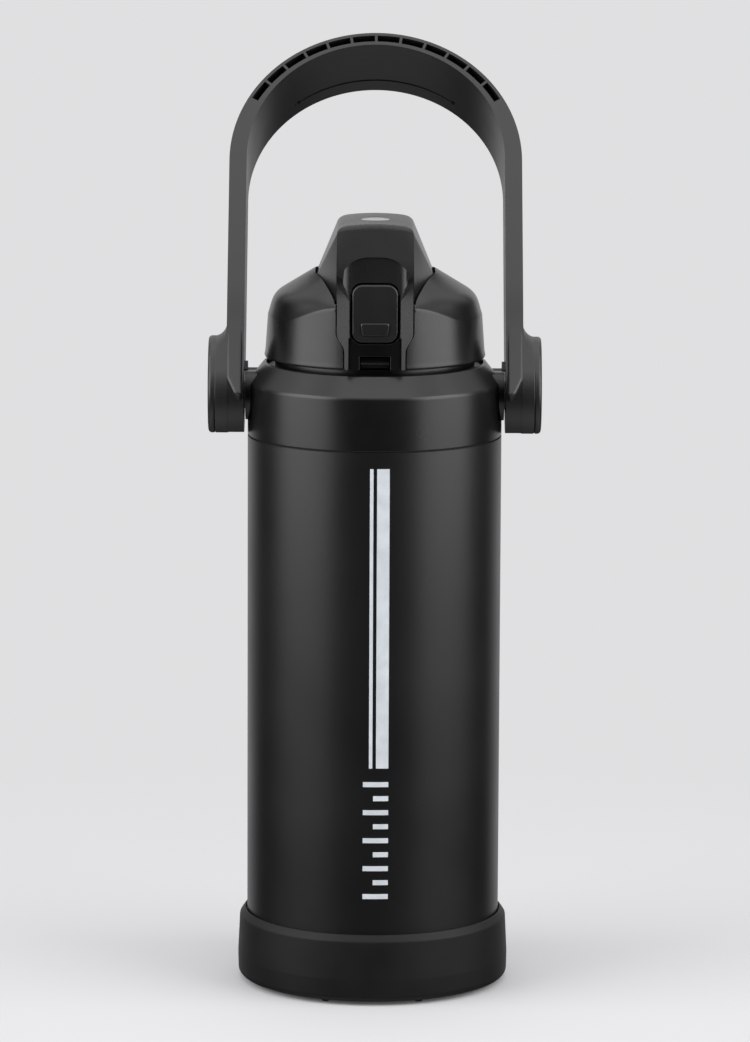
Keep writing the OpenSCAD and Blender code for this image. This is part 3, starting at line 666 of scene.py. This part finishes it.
def make_handle():
    handle = make_band()
    for side in (1, -1):
        join(handle, make_hub(side), make_rib(side))
        join(handle, block("lug", 55.5 * side, (ARM_X + 1) * side, -2, 2, 9, 13.2))
    for side in (1, -1):
        cut(handle, rod("bore", 5.52, (ARM_X - 2) * side, (SEAM_X + 1) * side, 0, 0),
            rod("pocket", 12, (HUB_X - 2.1) * side, (SEAM_X + 1) * side, 0, 0))
    first, count, wall = 29.0, 12, 1.2
    step = (180 - 2 * first) / count
    half = math.degrees(wall / 2 / ARM_OUT)
    pockets = []
    for i in range(count):
        a0, a1 = first + step * i + half, first + step * (i + 1) - half
        ring = arc(0, ARCH_Z, 63.2, a0, a1, 6) + arc(0, ARCH_Z, 60.2, a1, a0, 6)
        pockets.append(slab("pocket", ring, -BAND_HW - 2, -BAND_HW + 14, "y"))
    cut(handle, *pockets)
    ends = (52, 128)
    groove = (arc(0, INNER_ARCH_Z, ARM_X + 0.45, *ends, 40)
              + arc(0, INNER_ARCH_Z, ARM_X - 3, *reversed(ends), 40))
    cut(handle, slab("groove", groove, 10.6, 12.0, "y"))
    for a in ends:
        x, z = arc(0, INNER_ARCH_Z, ARM_X, a, a, 1)[0]
        dimple = spin("dimple", [(0, -3), (1.7, -3), (1.7, 0.9), (1.2, 1.2), (0, 1.2)], 32)
        turn = Matrix.Rotation(math.radians(90 - a), 4, "Y")
        dimple.data.transform(Matrix.Translation(Vector((x, 11.3, z)) * MM) @ turn)
        cut(handle, dimple)
    soften(handle, 0.25, 2, 38)
    lean_back(handle)
    return dress(handle, "handle", "handle_plastic", "carry_handle")


def make_hub_caps():
    """Round caps with a shallow rim; each is a lid over its pivot screw."""
    seam = [(0.45, SEAM_X + 0.02), (0.2, SEAM_X + 0.12), (0.0, SEAM_X + 0.4)]
    edge = 1.6
    levels = [(edge - edge * math.cos(math.radians(a)), CAP_X - edge + edge * math.sin(math.radians(a)))
              for a in range(0, 91, 15)]
    levels += [(4.2, CAP_X), (4.5, CAP_X - 0.12), (4.8, CAP_X - 0.4), (6.0, CAP_X - 0.5)]
    rings = [[placed("x", y, z, x) for y, z in seam_outline(d)] for d, x in seam]
    rings += [[placed("x", y, z, x) for y, z in hub_outline(HUB_R - d)] for d, x in levels]
    cap = stack("hub_cap_right_cover", rings)
    plug = rod("plug", 11.9, HUB_X - 0.8, SEAM_X + 0.2, 0, 0)
    join(cap, plug)
    cut(cap, rod("room", 8.5, HUB_X - 2, HUB_X + 1.2, 0, 0))
    left = mirrored(cap, "hub_cap_left_cover")
    dress(lean_back(cap), "handle", "handle_plastic", "hub_cap_right")
    dress(lean_back(left), "handle", "handle_plastic", "hub_cap_left")


# ---------------------------------------------------------------- lid

def roof_edge():
    """Where the rounded shoulder of the lid turns into its straight roof, as (r, z)."""
    turn = math.radians(ROOF_TURN)
    return LID_WALL_R - ROOF_R * (1 - math.cos(turn)), ROOF_Z + ROOF_R * math.sin(turn)


def lid_profile(t):
    """The lid's outline, drawn in by t."""
    drop = 1 if t else 0
    flat_r = 20
    end_r, end_z = roof_edge()
    roof_z = end_z + (end_r - flat_r) * math.tan(ROOF_SLOPE) - t / math.cos(ROOF_SLOPE)
    return ([(0, LID_Z - drop), (LID_R - 0.6 - t, LID_Z - drop), (LID_R - 0.2 - t, LID_Z + 0.25),
             (LID_R - t, LID_Z + 0.8), (LID_R - 0.15 - t, LID_Z + 1.6), (LID_R - 0.4 - t, LID_Z + 3)]
            + arc(LID_WALL_R - ROOF_R, ROOF_Z, ROOF_R - t, 0, ROOF_TURN, CREASE_STEPS)
            + [(flat_r, roof_z), (0, roof_z)])


def creased(n, r, z, angle):
    """Lifts the wall's top edge near the tongue, so that a soft crease runs up to it."""
    k = n - WALL_START - 1
    if not 0 <= k < CREASE_STEPS:
        return r, z
    from_front = abs((math.degrees(angle) + 90 + 180) % 360 - 180)
    near = smooth((62 - from_front) / 44)
    wall_top = LID_Z + 19.5 + 7.0 * near
    wall_r = LID_WALL_R + (ROOF_Z - wall_top) * 0.03

    def edge(turn):
        return (wall_r - CREASE_R * (1 - math.cos(turn)),
                wall_top - CREASE_R + CREASE_R * math.sin(turn) * CREASE_STRETCH)

    edge_steps = 5
    turn = math.radians(18 + 30 * near)
    if k <= edge_steps:
        return edge(turn * k / edge_steps)
    start, end = edge(turn), roof_edge()
    reach = math.hypot(end[0] - start[0], end[1] - start[1]) / 2.2
    leave = (start[0] - reach * math.sin(turn), start[1] + reach * math.cos(turn))
    arrive = (end[0] + reach * math.cos(ROOF_SLOPE), end[1] - reach * math.sin(ROOF_SLOPE))
    s = (k - edge_steps) / (CREASE_STEPS - edge_steps)
    weights = ((1 - s) ** 3, 3 * s * (1 - s) ** 2, 3 * s * s * (1 - s), s ** 3)
    return tuple(sum(w * p[axis] for w, p in zip(weights, (start, leave, arrive, end))) for axis in (0, 1))


def both_sides(half, steps):
    """A rounded outline from the corners of its right half and their mirror image."""
    return rounded(half + [(-x, y, r) for x, y, r in reversed(half)], steps)


def footprint(g):
    """The cover's outline on the roof, made larger by g."""
    side_x, flare_x = TOWER_HW + 0.6 + g, FLARE_HW + g / 2
    return both_sides([(side_x, -CORNER_Y - 30, 0), (side_x, -CORNER_Y - g / 2, 0.5),
                       (flare_x, FLARE_FRONT - g / 4, 5 + g), (flare_x, FLARE_BACK + g / 4, 5 + g),
                       (side_x, CORNER_Y - 4 + g / 2, 1), (side_x, LID_R + 1.8, 0)], 5)


def tongue_outline(g, z0, z1):
    """The tongue from the front, made larger by g: it narrows below the button."""
    return both_sides([(TONGUE_LOW_HW + g, z0, 0), (TONGUE_LOW_HW + g, LID_Z + 9.5, 6),
                       (TOWER_HW + g, LID_Z + 14.6, 6), (TOWER_HW + g, z1, 0)], 6)


def knuckle(name, x0, x1):
    part = rod(name, KNUCKLE_R, x0, x1, HINGE_Y, HINGE_Z)
    return join(part, block("foot", x0, x1, HINGE_Y - KNUCKLE_R, HINGE_Y + KNUCKLE_R, DECK_Z - 2, HINGE_Z))


def make_lid():
    lid = spin("lid_body", lid_profile(0), 288, creased)
    hollow = spin("hollow", lid_profile(2.4), 192)
    cut(hollow, block("deck", -60, 60, -60, 60, DECK_Z - 2, DECK_Z + 40),
        block("notch_wall", -TOWER_HW - 3, TOWER_HW + 3, -60, -NOTCH_Y + 2, LID_Z - 5, DECK_Z + 5))
    cut(lid, hollow)
    cut(lid, slab("recess", footprint(0.5), DECK_Z, DECK_Z + 60, "z"))
    cut(lid, slab("notch", tongue_outline(0.55, LID_Z - 5, DECK_Z + 55), -NOTCH_Y - 20, -NOTCH_Y, "y"))
    join(lid, knuckle("knuckle", -KNUCKLE_HW, KNUCKLE_HW))
    cut(lid, rod("pin_bore", 1.52, -30, 30, HINGE_Y, HINGE_Z, 32),
        post("spout_bore", 8.92, DECK_Z - 5, DECK_Z + 5, SPOUT_Y),
        post("vent_bore", 2.42, DECK_Z - 5, DECK_Z + 5, VENT_Y, 32))
    soften(lid, 0.35, 3)
    return dress(lid, "lid", "lid_plastic", "lid_shell")


# ---------------------------------------------------------------- flip cover

def crown(x):
    """How far the tower's top falls from its middle to x."""
    u = min(1.0, abs(x) / TOWER_HW)
    return 1.3 * u ** 2 + 1.9 * u ** 12


def top_points(hw, front, back, drop):
    """The crowned top with its rolled front and rear edges; the front edge stays level."""
    rim, points = TOWER_TOP - drop - TOWER_RIM, []
    for i in range(-14, 15):
        x = hw * math.sin(math.radians(i / 14 * 90))
        top = TOWER_TOP - drop - crown(x)
        for a in range(0, 91, 15):
            z = rim + (top - rim) * math.sin(math.radians(a))
            roll = 2.6 * (1 - math.cos(math.radians(a)))
            points += [(x, front + roll, z), (x, back - roll, z)]
    return points


def tower_points(t):
    """The tower above its flared base, drawn in by t for its hollow."""
    points = top_points(TOWER_HW - t, -TOWER_FRONT + t, TOWER_BACK - t, t)
    base = DECK_Z + 0.4 - (5 if t else 0)
    outline = both_sides([(TOWER_HW + 0.4 - t, -CORNER_Y, 0.6), (FLARE_HW - t, FLARE_FRONT, 5),
                          (FLARE_HW - t, FLARE_BACK, 5), (TOWER_HW + 0.4 - t, CORNER_Y - 4 - t, 2)], 4)
    for z in (base, DECK_Z + 8):
        points += [(x, y, z) for x, y in outline]
    return points


def face_y(z):
    """How far forward the leaning front face stands at height z."""
    s = max(0.0, (z - FACE_Z) / (FACE_TOP - FACE_Z))
    return -TONGUE_Y + (TONGUE_Y - TOWER_FRONT) * s ** 1.5


def front_points():
    """The front of the cover: upright beside the button, then leaning back to the top."""
    hw = TOWER_HW - 0.04
    points = []
    for z in (LID_Z + 19, FACE_Z):
        points += [(x, y, z) for x, y in rounded([(hw, -TONGUE_Y + 8, 0), (-hw, -TONGUE_Y + 8, 0),
                                                  (-hw, -TONGUE_Y, 1.2), (hw, -TONGUE_Y, 1.2)], 4)]
    for i in range(1, 12):
        z = FACE_Z + (FACE_TOP - FACE_Z) * i / 12
        points += [(x, face_y(z), z) for x in (-hw, hw)]
    return points + top_points(hw, -TOWER_FRONT, -TOWER_FRONT + 14, 0.04)


def scoop():
    """The trough down the front: its top edge draws an arch on the leaning face, with a small step."""
    half, arch_hw, steps = TOWER_HW + 1.5, 15.3, 60
    apex_z = TOWER_TOP - 13.5
    low_z, top_z = LID_Z + 12, apex_z + 4
    start, fall = face_y(apex_z) + 0.8, 0.24
    rings, arch = [], []
    for i in range(steps + 1):
        x = half * (i / (steps / 2) - 1)
        hollow = 3.0 * abs(x / 15.4) ** 5
        low_y, top_y = [start - fall * (apex_z - z) - hollow for z in (low_z, top_z)]
        rings.append([(x, -70, low_z), (x, -70, top_z), (x, top_y, top_z), (x, low_y, low_z)])
        if abs(x) < arch_hw:
            arch.append((x, apex_z - 6.0 * abs(x / 13.8) ** 3.2))
    trough = stack("scoop", rings)
    side = arch[-1][0]
    below = low_z - 1
    return common(trough, slab("arch", [(side, below)] + arch[::-1] + [(-side, below)], -75, 5, "y"))


def flank(side):
    """The slanted strip beside the button, which fades out up the leaning face."""
    in_x, out_x, before = 11 * side, 18 * side, -TONGUE_Y - 2
    levels = [(TONGUE_Z - 1, 3.2), (FACE_Z - 2, 3.2), (FACE_Z + 4, 2.0), (FACE_Z + 11, -0.4)]
    return stack("flank", [[(in_x, before, z), (out_x, before, z),
                            (out_x, -TONGUE_Y + depth, z), (in_x, -TONGUE_Y, z)]
                           for z, depth in levels])


def button_outline(d):
    w, h, r = BUTTON_W / 2 - d, BUTTON_H / 2 - d, max(BUTTON_R - d, 0.4)
    return [(x, BUTTON_Z + z) for x, z in rounded([(w, h, r), (-w, h, r), (-w, -h, r), (w, -h, r)], 8)]


def make_cover():
    cover = hull("cover_body", tower_points(0))
    join(cover, hull("front", front_points()))
    tongue = slab("tongue", tongue_outline(-0.02, TONGUE_Z, LID_Z + 20), -TONGUE_Y, -PANEL_BACK, "y")
    soften(tongue, 0.9, 4, 60)
    join(cover, tongue)
    for side in (1, -1):
        x0, x1 = sorted((8.0 * side, TOWER_HW * side))
        join(cover, slab("arm", [(HINGE_Y, HINGE_Z - KNUCKLE_R), (HINGE_Y, HINGE_Z + KNUCKLE_R),
                                 (CORNER_Y - 12, HINGE_Z + 9.6), (CORNER_Y - 12, HINGE_Z)], x0, x1, "x"),
             rod("arm_end", KNUCKLE_R, x0, x1, HINGE_Y, HINGE_Z))
    cut(cover, hull("inner", tower_points(2.2)))
    cut(cover, block("under", -TOWER_HW - 1, TOWER_HW + 1, -NOTCH_Y - 0.4, -NOTCH_Y + 20,
                     LID_Z, DECK_Z + 0.4))
    cut(cover, rod("pin_bore", 1.55, -30, 30, HINGE_Y, HINGE_Z, 32),
        block("knuckle_room", -KNUCKLE_HW - 0.4, KNUCKLE_HW + 0.4, HINGE_Y - 7, HINGE_Y + 13,
              DECK_Z - 3, DECK_Z + 9))
    cut(cover, scoop(), flank(1), flank(-1))
    for name, y0, y1, z0, z1 in (
            ("panel_room", -TONGUE_Y + 3.4, -PANEL_BACK + 1, TONGUE_Z - 1, BUTTON_Z),
            ("panel_back_room", -NOTCH_Y - 3.6, -PANEL_BACK + 1, BUTTON_Z - 1, PANEL_TOP + 0.2),
            ("panel_front", -TONGUE_Y - 3, -PANEL_BACK, TONGUE_Z - 1, BUTTON_Z - BUTTON_H / 2 + 2)):
        cut(cover, block(name, -PANEL_HW, PANEL_HW, y0, y1, z0, z1))
    cut(cover, slab("button_room", button_outline(-WELL_GAP), -TONGUE_Y - 3, -PANEL_BACK - 2, "y"))
    cut(cover, post("badge_room", BADGE_R + 0.15, BADGE.z - 0.55, BADGE.z + 8, BADGE.y))
    soften(cover, 0.3, 3, 36)
    return dress(cover, "cover", "lid_plastic", "flip_cover")


def make_housing():
    """The panel in the tongue: a well for the button above a small window for the catch."""
    hw = PANEL_HW - 0.1
    front_top = BUTTON_Z - BUTTON_H / 2 + 1.8
    housing = block("latch_panel", -hw, hw, -NOTCH_Y - 3.4, -PANEL_BACK, BUTTON_Z - 0.8, PANEL_TOP)
    join(housing, block("middle", -hw, hw, -TONGUE_Y + 3.6, -PANEL_BACK, TONGUE_Z, BUTTON_Z - 0.2))
    join(housing, block("lower", -hw, hw, -PANEL_Y, -PANEL_BACK, TONGUE_Z, front_top))
    cut(housing, slab("well", button_outline(-WELL_GAP), -TONGUE_Y - 2, -PANEL_BACK - 1, "y"))
    cut(housing, block("window", -WINDOW_HW, WINDOW_HW, -TONGUE_Y - 2, -PANEL_BACK + 1,
                       TONGUE_Z - 1, WINDOW_TOP))
    cut(housing, block("hook_room", -3.4, 3.4, -PANEL_Y + 2.7, -PANEL_BACK + 1, TONGUE_Z - 1, BUTTON_Z))
    soften(housing, 0.3, 3)
    return dress(housing, "cover", "lid_plastic", "latch_housing")


def pad_outline(d):
    """The raised pad on the button, drawn in by d: it narrows a little downward."""
    top_z, low_z = BUTTON_Z - 4 - d, BUTTON_Z - 9.6 + d
    top_hw, low_hw = 6.3 - d, 5.4 - d
    return rounded([(top_hw, top_z, 0.9), (-top_hw, top_z, 0.9),
                    (-low_hw, low_z, 0.9), (low_hw, low_z, 0.9)], 4)


def make_button():
    """The button with its pad, the sleeve that its pin runs in, and the hook of the latch."""
    face, edge = -BUTTON_Y, 0.75
    levels = [(0.5, face + 3.6), (0, face + 3.1), (0, face + edge)]
    levels += [(edge - edge * math.cos(math.radians(a)), face + edge - edge * math.sin(math.radians(a)))
               for a in range(15, 91, 15)]
    levels += [(1.5, face), (2.4, face + 0.12), (5.0, face + 0.22)]
    button = pillow("push_button", button_outline, levels, "y")
    join(button, pillow("pad", pad_outline, [(0, face + 1), (0, face - 0.05), (0.2, face - 0.35),
                                             (0.55, face - 0.5)], "y"))
    for x in (-7.6, 4.6):
        join(button, rod("ear", 1.9, x, x + 3, PRESS_Y, PRESS_Z, 40))
    join(button, rod("sleeve", 1.45, -10.65, 10.65, PRESS_Y, PRESS_Z, 40))
    join(button, block("hook", -3, 3, face + 3.5, face + 5.2, LID_Z + 6.2, BUTTON_Z))
    cut(button, rod("pin_bore", 1.15, -20, 20, PRESS_Y, PRESS_Z, 32),
        block("spring_room", -4.2, 4.2, face + 2, face + 7, PRESS_Z - 2.4, PRESS_Z + 2.4))
    return dress(button, "button", "button_plastic", "open_button")


def make_badge():
    z0 = low("top_badge").z
    top = high("top_badge").z
    badge = spin("badge_disc", [(0, z0), (BADGE_R, z0), (BADGE_R, top - 0.3), (BADGE_R - 0.1, top - 0.08),
                                (BADGE_R - 0.35, top), (BADGE_R - 1.0, top), (BADGE_R - 1.2, top - 0.15),
                                (0, top - 0.15)], 96)
    badge.data.transform(Matrix.Translation((0, BADGE.y * MM, 0)))
    return dress(badge, "cover", "badge_metal", "top_badge")


make_boot()
make_collar()
make_handle()
make_hub_caps()
make_lid()
make_cover()
make_housing()
make_button()
make_badge()

SLOTS = {
    "powder_coat": ["outer_shell"],
    "bare_steel": ["outer_base", "inner_flask", "getter_capsule", "vacuum_seal_cap", "pivot_screws",
                   "hinge_pin", "button_pin", "button_spring"],
    "boot_rubber": ["collar_gasket"],
    "print_ink": ["stripe_print"],
    "brass_parts": ["pivot_inserts", "pivot_bushes"],
    "seal_silicone": ["neck_seal", "vent_valve", "spout_seal", "pivot_washers"],
    "lid_plastic": ["lid_core", "stopper", "spout", "latch_catch", "seal_carrier"],
}
for slot, names in SLOTS.items():
    for name in names:
        nodes[name].data.materials.clear()
        nodes[name].data.materials.append(FINISH[slot])


# ---------------------------------------------------------------- stage, light and camera

def make_floor():
    """Pale paper: it shows soft shadows near the jug and turns into an even pale ground further out."""
    mat, tree, shader, coords = new_material("floor_paper")
    slow = noise(tree, coords, 600.0, 2.0)
    tree.links.new(tint(tree, slow, (0.48, 0.48, 0.49), (0.51, 0.51, 0.52)), shader.inputs["Base Color"])
    shader.inputs["Roughness"].default_value = 0.8
    shader.inputs["Specular IOR Level"].default_value = 0.2
    far = tree.nodes.new("ShaderNodeVectorMath")
    far.operation = "LENGTH"
    tree.links.new(coords, far.inputs[0])
    even = tree.nodes.new("ShaderNodeEmission")
    even.inputs["Color"].default_value = PALE
    blend = tree.nodes.new("ShaderNodeMixShader")
    tree.links.new(spread(tree, far.outputs["Value"], 0.0, 1.0, 0.03, 0.45), blend.inputs["Fac"])
    tree.links.new(shader.outputs["BSDF"], blend.inputs[1])
    tree.links.new(even.outputs["Emission"], blend.inputs[2])
    out = [node for node in tree.nodes if node.type == "OUTPUT_MATERIAL"][0]
    tree.links.new(blend.outputs["Shader"], out.inputs["Surface"])
    floor = slab("floor", arc(0, 0, 9000, 0, 357, 119), -20, 0, "z")
    floor.data.materials.append(mat)
    floor.visible_glossy = False


def area_light(name, width, height, watts):
    """A flat light that shines along its own -Z; sizes are in metres."""
    light = bpy.data.lights.new(name, "AREA")
    light.shape = "RECTANGLE"
    light.size = width
    light.size_y = height
    light.energy = watts
    obj = bpy.data.objects.new(name, light)
    scene.collection.objects.link(obj)
    return obj


def softbox(name, azimuth, distance, z, width, height, watts):
    """A tall soft light; azimuth is measured from the camera's side."""
    obj = area_light(name, width, height, watts)
    a = math.radians(azimuth)
    obj.location = (math.sin(a) * distance, -math.cos(a) * distance, z)
    aim = Vector((0, 0, min(z, 1.0))) - obj.location
    obj.rotation_euler = aim.to_track_quat("-Z", "Y").to_euler()


def arm_panel(side):
    """A dim panel just inside an arm: it gives the lid's side the pale ground that the arm would hide."""
    obj = area_light("arm_panel", 0.125, 0.034, 0.0095)
    obj.matrix_world = (Matrix.Translation((0, 0, PIVOT_Z * MM)) @ Matrix.Rotation(-LEAN, 4, "X")
                        @ Matrix.Translation((side * (ARM_X - 0.4) * MM, 0, 0.08))
                        @ Matrix.Rotation(side * math.radians(90), 4, "Y"))
    obj.visible_camera = False


def make_world():
    """Pale behind the jug and overhead, dark on the camera's side; the camera sees an even pale grey."""
    world = bpy.data.worlds.new("studio")
    world.use_nodes = True
    tree = world.node_tree
    tree.nodes.clear()
    out = tree.nodes.new("ShaderNodeOutputWorld")
    coords = tree.nodes.new("ShaderNodeTexCoord")
    split = tree.nodes.new("ShaderNodeSeparateXYZ")
    tree.links.new(coords.outputs["Generated"], split.inputs["Vector"])
    back = spread(tree, split.outputs["Y"], 0.0, 0.85, 0.60, 0.86)
    level = spread(tree, split.outputs["Z"], 0.0, 1.0, -0.45, -0.2)
    above = spread(tree, split.outputs["Z"], 0.0, 1.15, 0.27, 0.62)
    below = spread(tree, split.outputs["Z"], 0.9, 0.0, -0.78, -0.5)
    ahead = spread(tree, split.outputs["Y"], 1.0, 0.25, 0.0, 0.4)
    wall = maths(tree, "MULTIPLY", back, level)
    ground = maths(tree, "MULTIPLY", below, ahead)
    total = maths(tree, "ADD", maths(tree, "ADD", wall, ground), above)
    room = tree.nodes.new("ShaderNodeBackground")
    tree.links.new(total, room.inputs["Strength"])
    seen = tree.nodes.new("ShaderNodeBackground")
    seen.inputs["Color"].default_value = PALE
    rays = tree.nodes.new("ShaderNodeLightPath")
    mix = tree.nodes.new("ShaderNodeMixShader")
    tree.links.new(rays.outputs["Is Camera Ray"], mix.inputs["Fac"])
    tree.links.new(room.outputs["Background"], mix.inputs[1])
    tree.links.new(seen.outputs["Background"], mix.inputs[2])
    tree.links.new(mix.outputs["Shader"], out.inputs["Surface"])
    scene.world = world


def make_camera():
    """A long lens, far off and a little above, turned by a quarter of a degree."""
    target = Vector((0.00035, 0, 0.204))
    distance, down, roll = 2.634, math.radians(9.5), math.radians(0.25)
    camera = bpy.data.cameras.new("camera")
    camera.lens = 207.5
    camera.sensor_width = 36
    camera.clip_end = 100
    obj = bpy.data.objects.new("camera", camera)
    obj.location = target + Vector((0, -math.cos(down), math.sin(down))) * distance
    aim = (target - obj.location).to_track_quat("-Z", "Y").to_matrix().to_4x4()
    obj.rotation_euler = (aim @ Matrix.Rotation(roll, 4, "Z")).to_euler()
    scene.collection.objects.link(obj)
    scene.camera = obj


make_floor()
softbox("softbox_left", -66, 1.3, 0.85, 1.3, 1.6, 27)
softbox("softbox_right", 66, 1.3, 0.85, 1.3, 1.6, 27)
softbox("softbox_top", 0, 0.1, 1.7, 1.4, 2.0, 10)
arm_panel(1)
arm_panel(-1)
make_world()
make_camera()
scene.view_settings.view_transform = "Standard"
